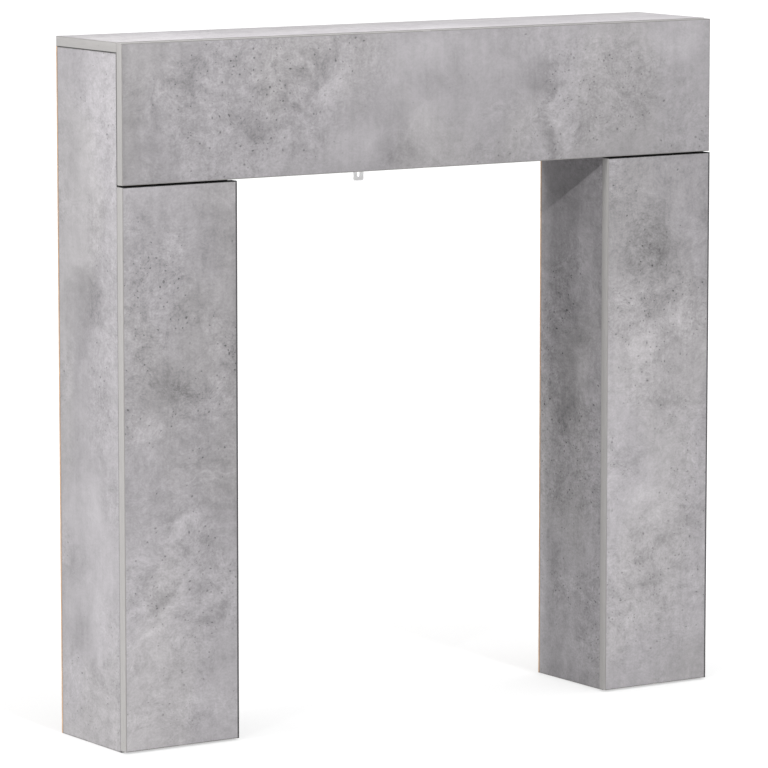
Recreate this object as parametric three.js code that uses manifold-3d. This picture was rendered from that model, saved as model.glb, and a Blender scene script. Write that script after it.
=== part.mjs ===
import * as THREE from 'three';
import { mergeVertices } from 'three/addons/utils/BufferGeometryUtils.js';
import Module from 'manifold-3d';

// Fireplace mantelpiece of flat laminated boards: two hollow legs and a hollow header under a top board.
// Millimetres, +Z up. X runs along the mantel, the front faces -Y, and the origin is at the middle of the foot.

// Overall sizes
const OVERALL_WIDTH = 1045;
const OVERALL_DEPTH = 189;
const OVERALL_HEIGHT = 1030;

// Legs and header
const LEG_WIDTH = 192;
const HEADER_HEIGHT = 204;
const SHADOW_SLOT = 2;
const LEG_FRONT_FOOT_CLEARANCE = 3;

// Board thicknesses
const TOP_BOARD_THICKNESS = 15;
const HEADER_FRONT_THICKNESS = 15;
const HEADER_BOTTOM_THICKNESS = 15;
const LEG_FRONT_THICKNESS = 16;
const OUTER_SIDE_THICKNESS = 15;
const INNER_SIDE_THICKNESS = 15;
const BACK_PANEL_THICKNESS = 3;

// Steps between neighbouring faces
const OUTER_SIDE_INSET = 0.6;
const INNER_SIDE_INSET = 6.5;
const HEADER_TOP_STEP = 0.8;

// Eased edges
const BOARD_EASE = 0.6;
const BACK_PANEL_EASE = 0.2;

// Wall bracket, a steel strip bent once, with a slot for the wall screw
const BRACKET_WIDTH = 18;
const BRACKET_THICKNESS = 2;
const BRACKET_DROP = 33.5;
const BRACKET_SHELF = 24;
const BRACKET_CORNER_RADIUS = 3;
const BRACKET_BEND_RADIUS = 1.5;
const WALL_SLOT_WIDTH = 5;
const WALL_SLOT_LENGTH = 12;
const WALL_SLOT_FROM_END = 5.5;
const SHELF_HOLE_DIAMETER = 4.5;
const SHELF_HOLE_FROM_END = 10;
const ARC_SEGMENTS = 6;

// Finishes
const LAMINATE = { color: 0xa6a5a7, roughness: 0.62, metalness: 0 };
const HARDBOARD = { color: 0x9c8069, roughness: 0.85, metalness: 0 };
const BRACKET_METAL = { color: 0xc9cacd, roughness: 0.38, metalness: 0.85 };

// Planes that several boards share
const frontPlane = -OVERALL_DEPTH / 2;
const backPlane = OVERALL_DEPTH / 2;
const carcassFront = frontPlane + LEG_FRONT_THICKNESS;
const carcassBack = backPlane - BACK_PANEL_THICKNESS;
const topUnderside = OVERALL_HEIGHT - TOP_BOARD_THICKNESS;
const headerUnderside = OVERALL_HEIGHT - HEADER_HEIGHT;
const outerFace = OVERALL_WIDTH / 2 - OUTER_SIDE_INSET;
const legInnerEdge = OVERALL_WIDTH / 2 - LEG_WIDTH;
const cheekFace = legInnerEdge + INNER_SIDE_INSET;

const wasm = await Module();
wasm.setup();

// A rectangle with its four corners cut off
function easedRectangle(width, height, ease) {
  const x = width / 2;
  const y = height / 2;
  return new THREE.Shape([
    new THREE.Vector2(-x + ease, -y),
    new THREE.Vector2(x - ease, -y),
    new THREE.Vector2(x, -y + ease),
    new THREE.Vector2(x, y - ease),
    new THREE.Vector2(x - ease, y),
    new THREE.Vector2(-x + ease, y),
    new THREE.Vector2(-x, y - ease),
    new THREE.Vector2(-x, -y + ease),
  ]);
}

// A board centred on the origin, with every edge eased
function boardGeometry(sizeX, sizeY, sizeZ, ease) {
  const geometry = new THREE.ExtrudeGeometry(easedRectangle(sizeX, sizeY, ease), {
    depth: sizeZ - 2 * ease,
    bevelEnabled: true,
    bevelThickness: ease,
    bevelSize: ease,
    bevelOffset: -ease,
    bevelSegments: 1,
    steps: 1,
  });
  geometry.translate(0, 0, ease - sizeZ / 2);
  return geometry;
}

// A named board that fills the space between two corners
function board(name, low, high, ease, finish) {
  const geometry = boardGeometry(high[0] - low[0], high[1] - low[1], high[2] - low[2], ease);
  const mesh = new THREE.Mesh(geometry, new THREE.MeshStandardMaterial(finish));
  mesh.name = name;
  mesh.position.set((low[0] + high[0]) / 2, (low[1] + high[1]) / 2, (low[2] + high[2]) / 2);
  return mesh;
}

// The same stretch of X on the left or the right side of the middle, lowest value first
function spanOnSide(side, near, far) {
  return side === 'left' ? [-far, -near] : [near, far];
}

// The four boards of one leg: outer side, inner side, front and back panel
function leg(side) {
  const group = new THREE.Group();
  const outer = spanOnSide(side, outerFace - OUTER_SIDE_THICKNESS, outerFace);
  const inner = spanOnSide(side, cheekFace, cheekFace + INNER_SIDE_THICKNESS);
  const front = spanOnSide(side, legInnerEdge, OVERALL_WIDTH / 2);
  const back = spanOnSide(side, cheekFace, outerFace);
  group.add(board(
    `${side}_outer_side`,
    [outer[0], carcassFront, 0],
    [outer[1], carcassBack, topUnderside],
    BOARD_EASE,
    LAMINATE,
  ));
  group.add(board(
    `${side}_inner_side`,
    [inner[0], carcassFront, 0],
    [inner[1], carcassBack, headerUnderside],
    BOARD_EASE,
    LAMINATE,
  ));
  group.add(board(
    `${side}_leg_front`,
    [front[0], frontPlane, LEG_FRONT_FOOT_CLEARANCE],
    [front[1], carcassFront, headerUnderside - SHADOW_SLOT],
    BOARD_EASE,
    LAMINATE,
  ));
  group.add(board(
    `${side}_leg_back_panel`,
    [back[0], carcassBack, 0],
    [back[1], backPlane, headerUnderside],
    BACK_PANEL_EASE,
    HARDBOARD,
  ));
  return group;
}

// The header: top board, front, bottom board and back panel
function header() {
  const group = new THREE.Group();
  const betweenSides = outerFace - OUTER_SIDE_THICKNESS;
  group.add(board(
    'top_board',
    [-outerFace, carcassFront, topUnderside],
    [outerFace, backPlane, OVERALL_HEIGHT],
    BOARD_EASE,
    LAMINATE,
  ));
  group.add(board(
    'header_front',
    [-outerFace, carcassFront - HEADER_FRONT_THICKNESS, headerUnderside],
    [outerFace, carcassFront, OVERALL_HEIGHT - HEADER_TOP_STEP],
    BOARD_EASE,
    LAMINATE,
  ));
  group.add(board(
    'header_bottom_board',
    [-betweenSides, carcassFront, headerUnderside],
    [betweenSides, carcassBack, headerUnderside + HEADER_BOTTOM_THICKNESS],
    BOARD_EASE,
    LAMINATE,
  ));
  group.add(board(
    'header_back_panel',
    [-outerFace, carcassBack, headerUnderside],
    [outerFace, backPlane, topUnderside],
    BACK_PANEL_EASE,
    HARDBOARD,
  ));
  return group;
}

// A closed mesh as a solid that can be cut and joined
function toSolid(geometry) {
  const bare = geometry.clone();
  bare.deleteAttribute('normal');
  bare.deleteAttribute('uv');
  const merged = mergeVertices(bare);
  return new wasm.Manifold(new wasm.Mesh({
    numProp: 3,
    vertProperties: new Float32Array(merged.attributes.position.array),
    triVerts: new Uint32Array(merged.index.array),
  }));
}

// A solid back as a mesh's geometry
function toGeometry(solid) {
  const mesh = solid.getMesh();
  const geometry = new THREE.BufferGeometry();
  geometry.setAttribute('position', new THREE.BufferAttribute(mesh.vertProperties, mesh.numProp));
  geometry.setIndex(new THREE.BufferAttribute(mesh.triVerts, 1));
  geometry.computeVertexNormals();
  return geometry;
}

// A strip seen from its flat side: square at the bend, round at the corners of its free end
function stripOutline(width, length, cornerRadius) {
  const x = width / 2;
  const shape = new THREE.Shape();
  shape.moveTo(-x, 0);
  shape.lineTo(-x, -length + cornerRadius);
  shape.absarc(-x + cornerRadius, -length + cornerRadius, cornerRadius, Math.PI, 1.5 * Math.PI);
  shape.absarc(x - cornerRadius, -length + cornerRadius, cornerRadius, 1.5 * Math.PI, 2 * Math.PI);
  shape.lineTo(x, 0);
  shape.closePath();
  return shape;
}

// A slot with round ends, upright and centred; a round hole when it is as long as it is wide
function slotOutline(width, length, centreY) {
  const radius = width / 2;
  const reach = length / 2 - radius;
  const path = new THREE.Path();
  path.absarc(0, centreY + reach, radius, 0, Math.PI);
  path.absarc(0, centreY - reach, radius, Math.PI, 2 * Math.PI);
  path.closePath();
  return path;
}

// The bracket's side view: down the wall and forward under the header, with a round bend
function bracketProfile() {
  const inner = BRACKET_BEND_RADIUS;
  const outer = BRACKET_BEND_RADIUS + BRACKET_THICKNESS;
  const shape = new THREE.Shape();
  shape.moveTo(0, -BRACKET_DROP);
  shape.lineTo(0, -outer);
  shape.absarc(-outer, -outer, outer, 0, Math.PI / 2);
  shape.lineTo(-BRACKET_SHELF, 0);
  shape.lineTo(-BRACKET_SHELF, -BRACKET_THICKNESS);
  shape.lineTo(-outer, -BRACKET_THICKNESS);
  shape.absarc(-outer, -outer, inner, Math.PI / 2, 0, true);
  shape.lineTo(-BRACKET_THICKNESS, -BRACKET_DROP);
  shape.closePath();
  return shape;
}

// The small bracket at the middle of the back, hanging below the header
function wallBracket() {
  const blank = new THREE.ExtrudeGeometry(bracketProfile(), {
    depth: BRACKET_WIDTH,
    bevelEnabled: false,
    curveSegments: ARC_SEGMENTS,
  });
  blank.translate(0, 0, -BRACKET_WIDTH / 2);
  blank.rotateX(Math.PI / 2);
  blank.rotateZ(Math.PI / 2);

  const wallStrip = stripOutline(BRACKET_WIDTH, BRACKET_DROP, BRACKET_CORNER_RADIUS);
  const wallSlotCentre = -BRACKET_DROP + WALL_SLOT_FROM_END + WALL_SLOT_LENGTH / 2;
  wallStrip.holes.push(slotOutline(WALL_SLOT_WIDTH, WALL_SLOT_LENGTH, wallSlotCentre));
  const wallCutter = new THREE.ExtrudeGeometry(wallStrip, {
    depth: 2 * BRACKET_SHELF,
    bevelEnabled: false,
    curveSegments: ARC_SEGMENTS,
  });
  wallCutter.rotateX(Math.PI / 2);
  wallCutter.translate(0, BRACKET_THICKNESS, 0);

  const shelfStrip = stripOutline(BRACKET_WIDTH, BRACKET_SHELF, BRACKET_CORNER_RADIUS);
  const shelfHoleCentre = -BRACKET_SHELF + SHELF_HOLE_FROM_END;
  shelfStrip.holes.push(slotOutline(SHELF_HOLE_DIAMETER, SHELF_HOLE_DIAMETER, shelfHoleCentre));
  const shelfCutter = new THREE.ExtrudeGeometry(shelfStrip, {
    depth: 2 * BRACKET_DROP,
    bevelEnabled: false,
    curveSegments: ARC_SEGMENTS,
  });
  shelfCutter.translate(0, 0, BRACKET_THICKNESS - 2 * BRACKET_DROP);

  const solid = toSolid(blank).intersect(toSolid(wallCutter)).intersect(toSolid(shelfCutter));
  const mesh = new THREE.Mesh(toGeometry(solid), new THREE.MeshStandardMaterial(BRACKET_METAL));
  mesh.name = 'wall_bracket';
  mesh.position.set(0, backPlane, headerUnderside);
  return mesh;
}

export default new THREE.Group().add(header(), leg('left'), leg('right'), wallBracket());
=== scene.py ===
"""Concrete-look fireplace mantelpiece: the finish of every board, its back panels and its wall bracket.

Run as a script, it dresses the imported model, sets the studio round it and leaves it ready to render.
Lengths are in metres, X to the right, the front towards -Y, Z up, the origin at the middle of the foot.
"""

import math
from typing import NamedTuple

import bmesh
import bpy
from bpy.props import FloatProperty, FloatVectorProperty, PointerProperty
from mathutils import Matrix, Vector


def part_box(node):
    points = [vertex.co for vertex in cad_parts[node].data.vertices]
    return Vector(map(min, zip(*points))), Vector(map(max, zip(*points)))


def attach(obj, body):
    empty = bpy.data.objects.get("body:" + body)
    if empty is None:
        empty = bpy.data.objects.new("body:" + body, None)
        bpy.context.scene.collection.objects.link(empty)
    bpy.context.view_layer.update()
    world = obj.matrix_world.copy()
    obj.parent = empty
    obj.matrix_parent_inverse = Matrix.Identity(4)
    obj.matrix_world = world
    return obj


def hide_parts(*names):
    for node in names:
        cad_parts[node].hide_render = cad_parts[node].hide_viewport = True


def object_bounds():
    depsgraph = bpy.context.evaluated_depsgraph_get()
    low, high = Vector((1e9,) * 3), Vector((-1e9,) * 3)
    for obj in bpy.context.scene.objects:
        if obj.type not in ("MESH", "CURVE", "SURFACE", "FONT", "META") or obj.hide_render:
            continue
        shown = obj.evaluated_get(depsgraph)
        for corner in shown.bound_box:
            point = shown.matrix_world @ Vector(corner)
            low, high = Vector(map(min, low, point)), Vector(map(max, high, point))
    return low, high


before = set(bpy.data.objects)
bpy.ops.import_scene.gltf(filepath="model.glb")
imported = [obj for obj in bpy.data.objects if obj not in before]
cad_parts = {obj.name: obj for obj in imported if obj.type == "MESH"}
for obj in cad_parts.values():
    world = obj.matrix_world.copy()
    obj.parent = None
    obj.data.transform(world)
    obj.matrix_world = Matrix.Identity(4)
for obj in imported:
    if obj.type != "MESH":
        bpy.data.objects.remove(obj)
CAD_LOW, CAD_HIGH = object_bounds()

bl_info = {
    "name": "Concrete-look Mantelpiece",
    "version": (1, 0, 0),
    "blender": (4, 5, 0),
    "location": "View3D > Sidebar > Mantelpiece",
    "description": "Dresses a flat-pack fireplace mantelpiece in printed concrete laminate",
    "category": "Object",
}

BODY = "root"
X, Y, Z = 0, 1, 2


# Sizes and colours a user may change

class BoardSettings(bpy.types.PropertyGroup):
    edge_radius: FloatProperty(
        name="Edge Radius", description="Radius worn on every edge of a board",
        default=0.0006, min=0.0001, max=0.003, precision=4, unit="LENGTH")
    band_thickness: FloatProperty(
        name="Edge Band", description="Thickness of the band glued round a board's narrow edges",
        default=0.0011, min=0.0007, max=0.003, precision=4, unit="LENGTH")
    glue_line: FloatProperty(
        name="Glue Line", description="Width of the fine line between the band and the printed face",
        default=0.0003, min=0.0001, max=0.001, precision=4, unit="LENGTH")
    # painted shade: the strip down a leg front's right edge is coloured dark for the shade on its rounded
    # edge
    right_edge_shade_width: FloatProperty(
        name="Painted Edge Shade", description="Width of the dark strip down the right edge of a leg front",
        default=0.003, min=0.0005, max=0.01, precision=4, unit="LENGTH")


class LaminateSettings(bpy.types.PropertyGroup):
    face_colour: FloatVectorProperty(
        name="Face", description="Mean colour of the concrete print",
        default=(0.2270, 0.2185, 0.2270), min=0, max=1, size=3, subtype="COLOR")
    warm_colour: FloatVectorProperty(
        name="Warm Patches", description="Colour the print turns to in its pale, sandy patches",
        default=(0.2285, 0.2205, 0.2255), min=0, max=1, size=3, subtype="COLOR")
    band_colour: FloatVectorProperty(
        name="Edge Band", description="Colour of the edge band",
        default=(0.2330, 0.2265, 0.2220), min=0, max=1, size=3, subtype="COLOR")
    # painted shade: the dark colour of that strip stands in for the shade on the rounded right edge
    right_edge_shade_colour: FloatVectorProperty(
        name="Painted Edge Shade", description="Colour of the dark strip on the leg fronts",
        default=(0.055, 0.052, 0.055), min=0, max=1, size=3, subtype="COLOR")
    # painted shade: the upper edge of a leg front is coloured near black for the shade deep in the slot under
    # the header
    slot_shade_colour: FloatVectorProperty(
        name="Slot Edge", description="Colour of the dark upper edge of a leg front, deep in the shadow slot",
        default=(0.012, 0.012, 0.012), min=0, max=1, size=3, subtype="COLOR")
    # painted shade: rounded edges that lie in a joint between two boards are coloured near black for the
    # shade in the joint
    seam_shade_colour: FloatVectorProperty(
        name="Seam", description="Colour of a rounded edge that lies in the joint between two boards",
        default=(0.030, 0.029, 0.030), min=0, max=1, size=3, subtype="COLOR")
    clouds: FloatProperty(
        name="Clouds", description="Strength of the broad light and dark clouds",
        default=1.0, min=0, max=3, subtype="FACTOR")
    mottle: FloatProperty(
        name="Mottle", description="Strength of the small blotches",
        default=1.0, min=0, max=3, subtype="FACTOR")
    grain: FloatProperty(
        name="Grain", description="Strength of the fine grain and specks",
        default=1.0, min=0, max=3, subtype="FACTOR")
    pores: FloatProperty(
        name="Pores", description="Strength of the dark pin holes and hairlines",
        default=1.0, min=0, max=3, subtype="FACTOR")
    roughness: FloatProperty(
        name="Roughness", description="Mean roughness of the sealed paper",
        default=0.60, min=0.05, max=1, subtype="FACTOR")


class FittingSettings(bpy.types.PropertyGroup):
    hardboard_colour: FloatVectorProperty(
        name="Hardboard", description="Colour of the thin back panels",
        default=(0.30, 0.19, 0.115), min=0, max=1, size=3, subtype="COLOR")
    flake_colour: FloatVectorProperty(
        name="Pale Flakes", description="Colour of the paler flakes pressed into the back panels",
        default=(0.30, 0.203, 0.131), min=0, max=1, size=3, subtype="COLOR")
    fibre_size: FloatProperty(
        name="Fibre Size", description="Length of a pressed fibre in the hardboard",
        default=0.004, min=0.001, max=0.02, precision=4, unit="LENGTH")
    metal_colour: FloatVectorProperty(
        name="Bracket", description="Colour of the painted wall bracket",
        default=(0.92, 0.92, 0.92), min=0, max=1, size=3, subtype="COLOR")
    metal_roughness: FloatProperty(
        name="Bracket Roughness", description="Mean roughness of the bracket's paint",
        default=0.38, min=0.05, max=1, subtype="FACTOR")


class StudioSettings(bpy.types.PropertyGroup):
    floor_colour: FloatVectorProperty(
        name="Floor", description="Colour of the plain floor",
        default=(0.25, 0.25, 0.25), min=0, max=1, size=3, subtype="COLOR")
    floor_glow: FloatProperty(
        name="Floor Glow", description="Even light given off by the floor, which keeps its shadows faint",
        default=0.55, min=0, max=2)
    floor_radius: FloatProperty(
        name="Floor Radius", description="Radius of the round floor",
        default=30.0, min=2, max=100, unit="LENGTH")
    wall_strength: FloatProperty(
        name="Surround", description="Brightness of the studio at eye level",
        default=0.12, min=0, max=5)
    ceiling_strength: FloatProperty(
        name="Ceiling", description="Brightness of the studio straight overhead",
        default=5.0, min=0, max=10)
    front_strength: FloatProperty(
        name="Front Light", description="Strength of the soft light from straight in front",
        default=2.5, min=0, max=50)
    front_elevation: FloatProperty(
        name="Front Light Height", description="Front light's angle above the floor",
        default=math.radians(32), min=0, max=math.pi / 2, unit="ROTATION")
    side_strength: FloatProperty(
        name="Side Light", description="Strength of the soft light from straight left",
        default=3.2, min=0, max=50)
    side_elevation: FloatProperty(
        name="Side Light Height", description="Side light's angle above the floor",
        default=math.radians(9), min=0, max=math.pi / 2, unit="ROTATION")
    corner_strength: FloatProperty(
        name="Corner Light", description="Strength of the light that slants in from the left in front",
        default=1.0, min=0, max=50)
    corner_azimuth: FloatProperty(
        name="Corner Light Angle", description="Corner light's angle left of straight in front",
        default=math.radians(57), min=-math.pi, max=math.pi, unit="ROTATION")
    corner_elevation: FloatProperty(
        name="Corner Light Height", description="Corner light's angle above the floor",
        default=math.radians(17), min=0, max=math.pi / 2, unit="ROTATION")
    corner_spread: FloatProperty(
        name="Corner Light Spread", description="How wide the corner light looks from the object",
        default=math.radians(0.8), min=0, max=math.pi, unit="ROTATION")
    light_spread: FloatProperty(
        name="Light Spread", description="How wide each light looks from the object; wider is softer",
        default=math.radians(6), min=0, max=math.pi, unit="ROTATION")
    camera_azimuth: FloatProperty(
        name="Camera Azimuth", description="Camera's angle left of straight in front",
        default=math.radians(33.259), min=-math.pi, max=math.pi, unit="ROTATION")
    camera_elevation: FloatProperty(
        name="Camera Elevation", description="Camera's angle above the floor",
        default=math.radians(7.663), min=0, max=math.pi / 2, unit="ROTATION")
    camera_distance: FloatProperty(
        name="Camera Distance", description="Distance from the camera to the point it looks at",
        default=7.62672, min=1, max=30, unit="LENGTH")
    camera_lens: FloatProperty(
        name="Focal Length", description="Focal length on a 36 mm sensor",
        default=237.70, min=20, max=500, unit="CAMERA")
    camera_target: FloatVectorProperty(
        name="Camera Target", description="Point that the camera looks at",
        default=(-0.01457, 0.0, 0.49338), size=3, precision=5, subtype="TRANSLATION", unit="LENGTH")


class MantelSettings(bpy.types.PropertyGroup):
    board: PointerProperty(type=BoardSettings)
    laminate: PointerProperty(type=LaminateSettings)
    fitting: PointerProperty(type=FittingSettings)
    studio: PointerProperty(type=StudioSettings)


# Node trees

WHITE = (1.0, 1.0, 1.0, 1.0)


class Layer(NamedTuple):
    """One layer of noise: its scale per metre, its octaves, their roughness, and how far it swings."""

    scale: float
    detail: float
    roughness: float
    swing: float


class Holes(NamedTuple):
    """One kind of pin hole: cells per metre, at most one hole in each, radius, and share of cells filled."""

    cells: float
    radius: float
    share: float


# the smallest pin hole's radius over the usual one, and how much of a hole's radius is fully dark
SMALLEST_HOLE = 0.35
HOLE_MIDDLE = 0.55
# how softly pin holes come in where more of them are wanted
HOLE_FADE = 0.03
# the noise that bends the hairlines: its scale over theirs, and its reach in cells
BEND_SCALE = 1.7
BEND_REACH = 0.9
# share of a hairline's width that is fully dark
HAIRLINE_MIDDLE = 0.3


def new_material(name):
    """A material and its node tree, still empty."""
    material = bpy.data.materials.new(name)
    material.use_nodes = True
    material.node_tree.nodes.clear()
    return material, material.node_tree


def add_node(tree, kind, inputs=None, **settings):
    """One node with its settings, and its inputs given by name or number as a value or a socket."""
    made = tree.nodes.new(kind)
    for name, value in settings.items():
        setattr(made, name, value)
    for name, value in (inputs or {}).items():
        socket = made.inputs[name]
        if isinstance(value, bpy.types.NodeSocket):
            tree.links.new(value, socket)
        else:
            socket.default_value = value
    return made


def maths(tree, operation, *values, clamp=False):
    made = add_node(tree, "ShaderNodeMath", dict(enumerate(values)), operation=operation, use_clamp=clamp)
    return made.outputs[0]


def vector_maths(tree, operation, *values):
    made = add_node(tree, "ShaderNodeVectorMath", dict(enumerate(values)), operation=operation)
    return made.outputs[0]


def scaled(tree, vector, factor):
    """A vector or colour times a number."""
    made = add_node(tree, "ShaderNodeVectorMath", {"Vector": vector, "Scale": factor}, operation="SCALE")
    return made.outputs[0]


def noise(tree, vector, scale, detail=2.0, roughness=0.5, distortion=0.0):
    made = add_node(tree, "ShaderNodeTexNoise", {
        "Vector": vector, "Scale": scale, "Detail": detail, "Roughness": roughness, "Distortion": distortion})
    return made.outputs["Fac"]


def noise_vector(tree, vector, scale, detail):
    """Noise with three parts, each from 0 to 1."""
    made = add_node(tree, "ShaderNodeTexNoise", {"Vector": vector, "Scale": scale, "Detail": detail})
    return made.outputs["Color"]


def drift_vector(tree, vector, scale, detail):
    """Noise with three parts, each a swing about nothing."""
    return vector_maths(tree, "SUBTRACT", noise_vector(tree, vector, scale, detail), (0.5, 0.5, 0.5))


def ramp(tree, value, start, end, low=0.0, high=1.0):
    """Smooth change from low to high as value goes from start to end."""
    made = add_node(tree, "ShaderNodeMapRange", {
        "Value": value, "From Min": start, "From Max": end, "To Min": low, "To Max": high},
        interpolation_type="SMOOTHSTEP")
    return made.outputs[0]


def mix_colour(tree, factor, first, second):
    """A mix of two colours; the node's input 0 is the factor, its inputs 6 and 7 are the colours."""
    made = add_node(tree, "ShaderNodeMix", {0: factor, 6: first, 7: second}, data_type="RGBA")
    return made.outputs[2]


def opaque(colour):
    return (*colour, 1.0)


def summed(tree, parts):
    """The sum of several sockets."""
    total = parts[0]
    for part in parts[1:]:
        total = maths(tree, "ADD", total, part)
    return total


def swing(tree, value, amount):
    """A noise value turned into a swing about nothing, of the amount given."""
    return maths(tree, "MULTIPLY", maths(tree, "SUBTRACT", value, 0.5), amount)


def noise_layer(tree, place, layer, share=1.0):
    """A layer of noise as a swing about nothing, share being how much of it is wanted."""
    value = noise(tree, place, layer.scale, layer.detail, layer.roughness)
    return swing(tree, value, layer.swing * share)


def pin_holes(tree, place, cells_per_metre, radius, kept):
    """Round dark holes, one at most in each cell, where kept is high."""
    cells = add_node(tree, "ShaderNodeTexVoronoi", {"Vector": place, "Scale": cells_per_metre})
    chance = add_node(tree, "ShaderNodeSeparateColor", {0: cells.outputs["Color"]})
    share = maths(tree, "ADD", chance.outputs[1], SMALLEST_HOLE)
    size = maths(tree, "MULTIPLY", radius * cells_per_metre, share)
    edge = maths(tree, "DIVIDE", cells.outputs["Distance"], size)
    hole = ramp(tree, edge, HOLE_MIDDLE, 1.0, 1.0, 0.0)
    present = ramp(tree, maths(tree, "ADD", chance.outputs[0], kept), 1.0 - HOLE_FADE, 1.0 + HOLE_FADE)
    return maths(tree, "MULTIPLY", hole, present)


def hairlines(tree, place, cells_per_metre, width, kept):
    """Fine curved cracks that come and go along the borders of large bent cells."""
    bend = drift_vector(tree, place, cells_per_metre * BEND_SCALE, detail=2.0)
    bent = vector_maths(tree, "ADD", place, scaled(tree, bend, BEND_REACH / cells_per_metre))
    cells = add_node(
        tree, "ShaderNodeTexVoronoi", {"Vector": bent, "Scale": cells_per_metre}, feature="DISTANCE_TO_EDGE")
    edge = width * cells_per_metre
    line = ramp(tree, cells.outputs["Distance"], edge * HAIRLINE_MIDDLE, edge, 1.0, 0.0)
    return maths(tree, "MULTIPLY", line, kept)


def soft_patch(tree, place, centre, size, lean):
    """A soft oval patch, 1 at its centre and 0 outside, size being its two half widths in metres."""
    moved = vector_maths(tree, "SUBTRACT", place, (*centre, 0.0))
    turned = add_node(
        tree, "ShaderNodeVectorRotate", {"Vector": moved, "Angle": -lean}, rotation_type="Z_AXIS")
    shaped = vector_maths(tree, "MULTIPLY", turned.outputs[0], (1 / size[0], 1 / size[1], 0.0))
    far = add_node(tree, "ShaderNodeVectorMath", {0: shaped}, operation="LENGTH")
    return ramp(tree, far.outputs["Value"], 0.0, 1.0, 1.0, 0.0)


def finish_material(tree, colour, roughness, relief, bump_strength, bump_depth, plain_values):
    """The shader and output of a material; relief makes its fine bumps, plain_values are uniform inputs."""
    bump = add_node(
        tree, "ShaderNodeBump", {"Strength": bump_strength, "Distance": bump_depth, "Height": relief})
    shader = add_node(tree, "ShaderNodeBsdfPrincipled", {
        "Base Color": colour, "Roughness": roughness, "Normal": bump.outputs[0], **plain_values})
    add_node(tree, "ShaderNodeOutputMaterial", {"Surface": shader.outputs[0]})


# The concrete print; lengths in metres, strengths as shares of its mean tone

# how far each kind of mark is drawn out: a factor under 1 lengthens it in that direction, u then v
CLOUD_STRETCH = (1.0, 0.5, 1.0)
BRUSHED_STRETCH = (1.0, 0.07, 1.0)
STREAK_STRETCH = (1.0, 0.22, 1.0)
RIPPLE_STRETCH = (0.85, 1.0, 1.0)

# how the print drifts, and how far it carries its marks and the clouds placed by hand
DRIFT_SCALE = 14.0
DRIFT_DETAIL = 3.0
PRINT_DRIFT = 0.03
PATCH_DRIFT = 0.075

BROAD_CLOUDS = Layer(6.5, 2.0, 0.5, 0.46)
SMALL_CLOUDS = Layer(17.0, 4.0, 0.62, 0.62)
BRUSHING = Layer(120.0, 2.0, 0.6, 0.16)
STREAKS = Layer(42.0, 2.0, 0.55, 0.15)
COARSE_MOTTLE = Layer(55.0, 2.0, 0.6, 0.60)
FINE_MOTTLE = Layer(150.0, 2.0, 0.6, 0.42)
SPECKS = Layer(330.0, 2.0, 0.7, 0.70)

# share of the chance clouds kept on a board whose clouds are listed, and the strength of those
CHANCE_SHARE = 0.6
PATCH_STRENGTH = 1.6

# porous zones: their noise, where in it they begin and end, and how porous the print is at both ends
POROUS_SCALE = 6.0
POROUS_DETAIL = 3.0
POROUS_RANGE = (0.45, 0.60)
POROUS_LEVELS = (0.12, 0.75)
# share of the mottling and specks that smooth print keeps
SMOOTH_SHARE = 0.38

FINE_HOLES = Holes(190.0, 0.0015, 0.34)
COARSE_HOLES = Holes(80.0, 0.0019, 0.16)
# how sharply the holes gather in the porous zones
HOLE_CROWDING = 3.0
HOLE_DARKENING = -0.40

HAIRLINE_CELLS = 34.0
HAIRLINE_WIDTH = 0.0011
HAIRLINE_SHARE = 0.3
# noise that says where hairlines show
HAIRLINE_SCALE = 16.0
HAIRLINE_RANGE = (0.52, 0.64)

# pale wisps: lines where a noise crosses its mean, shown in places only
WISP_SCALE = 15.0
WISP_DISTORTION = 0.6
WISP_WIDTH = 0.012
WISP_PLACES_SCALE = 9.0
WISP_RANGE = (0.5, 0.66)
WISP_STRENGTH = 0.08

# edges: a worn pale arris, a dark line beside the glue line, and a faint darkening over the 2 cm inside it
SCUFF_SCALE = 60.0
SCUFF_RANGE = (0.42, 0.62)
ARRIS_WIDTH = 0.0022
ARRIS_STRENGTH = 0.05
TRIM_LINE = (0.0008, 0.0016)
TRIM_DARKENING = -0.30
EDGE_FADE_WIDTH = 0.02
EDGE_FADE_DARKENING = -0.02

SANDY_SCALE = 4.5
SANDY_RANGE = (0.47, 0.60)

SHEEN_CLOUDS = Layer(30.0, 3.0, 0.5, 0.10)
SHEEN_GRAIN = Layer(300.0, 2.0, 0.5, 0.08)
HOLE_DULLNESS = 0.22
ARRIS_POLISH = -0.06
COARSE_RELIEF_SCALE = 150.0
FINE_RELIEF_SCALE = 900.0
PRINT_BUMP = (0.35, 0.00005)
PRINT_SPECULAR = 0.22


def mottling(tree, settings, rippled, porous):
    """Small blotches and specks, stronger where the print is porous."""
    coarse_share = maths(tree, "ADD", maths(tree, "MULTIPLY", porous, 1.0 - SMOOTH_SHARE), SMOOTH_SHARE)
    blotches = summed(tree, [
        noise_layer(tree, rippled, COARSE_MOTTLE, settings.mottle),
        noise_layer(tree, rippled, FINE_MOTTLE, settings.mottle)])
    specks = noise_layer(tree, rippled, SPECKS, settings.grain)
    return maths(tree, "MULTIPLY", coarse_share, maths(tree, "ADD", blotches, specks))


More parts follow.
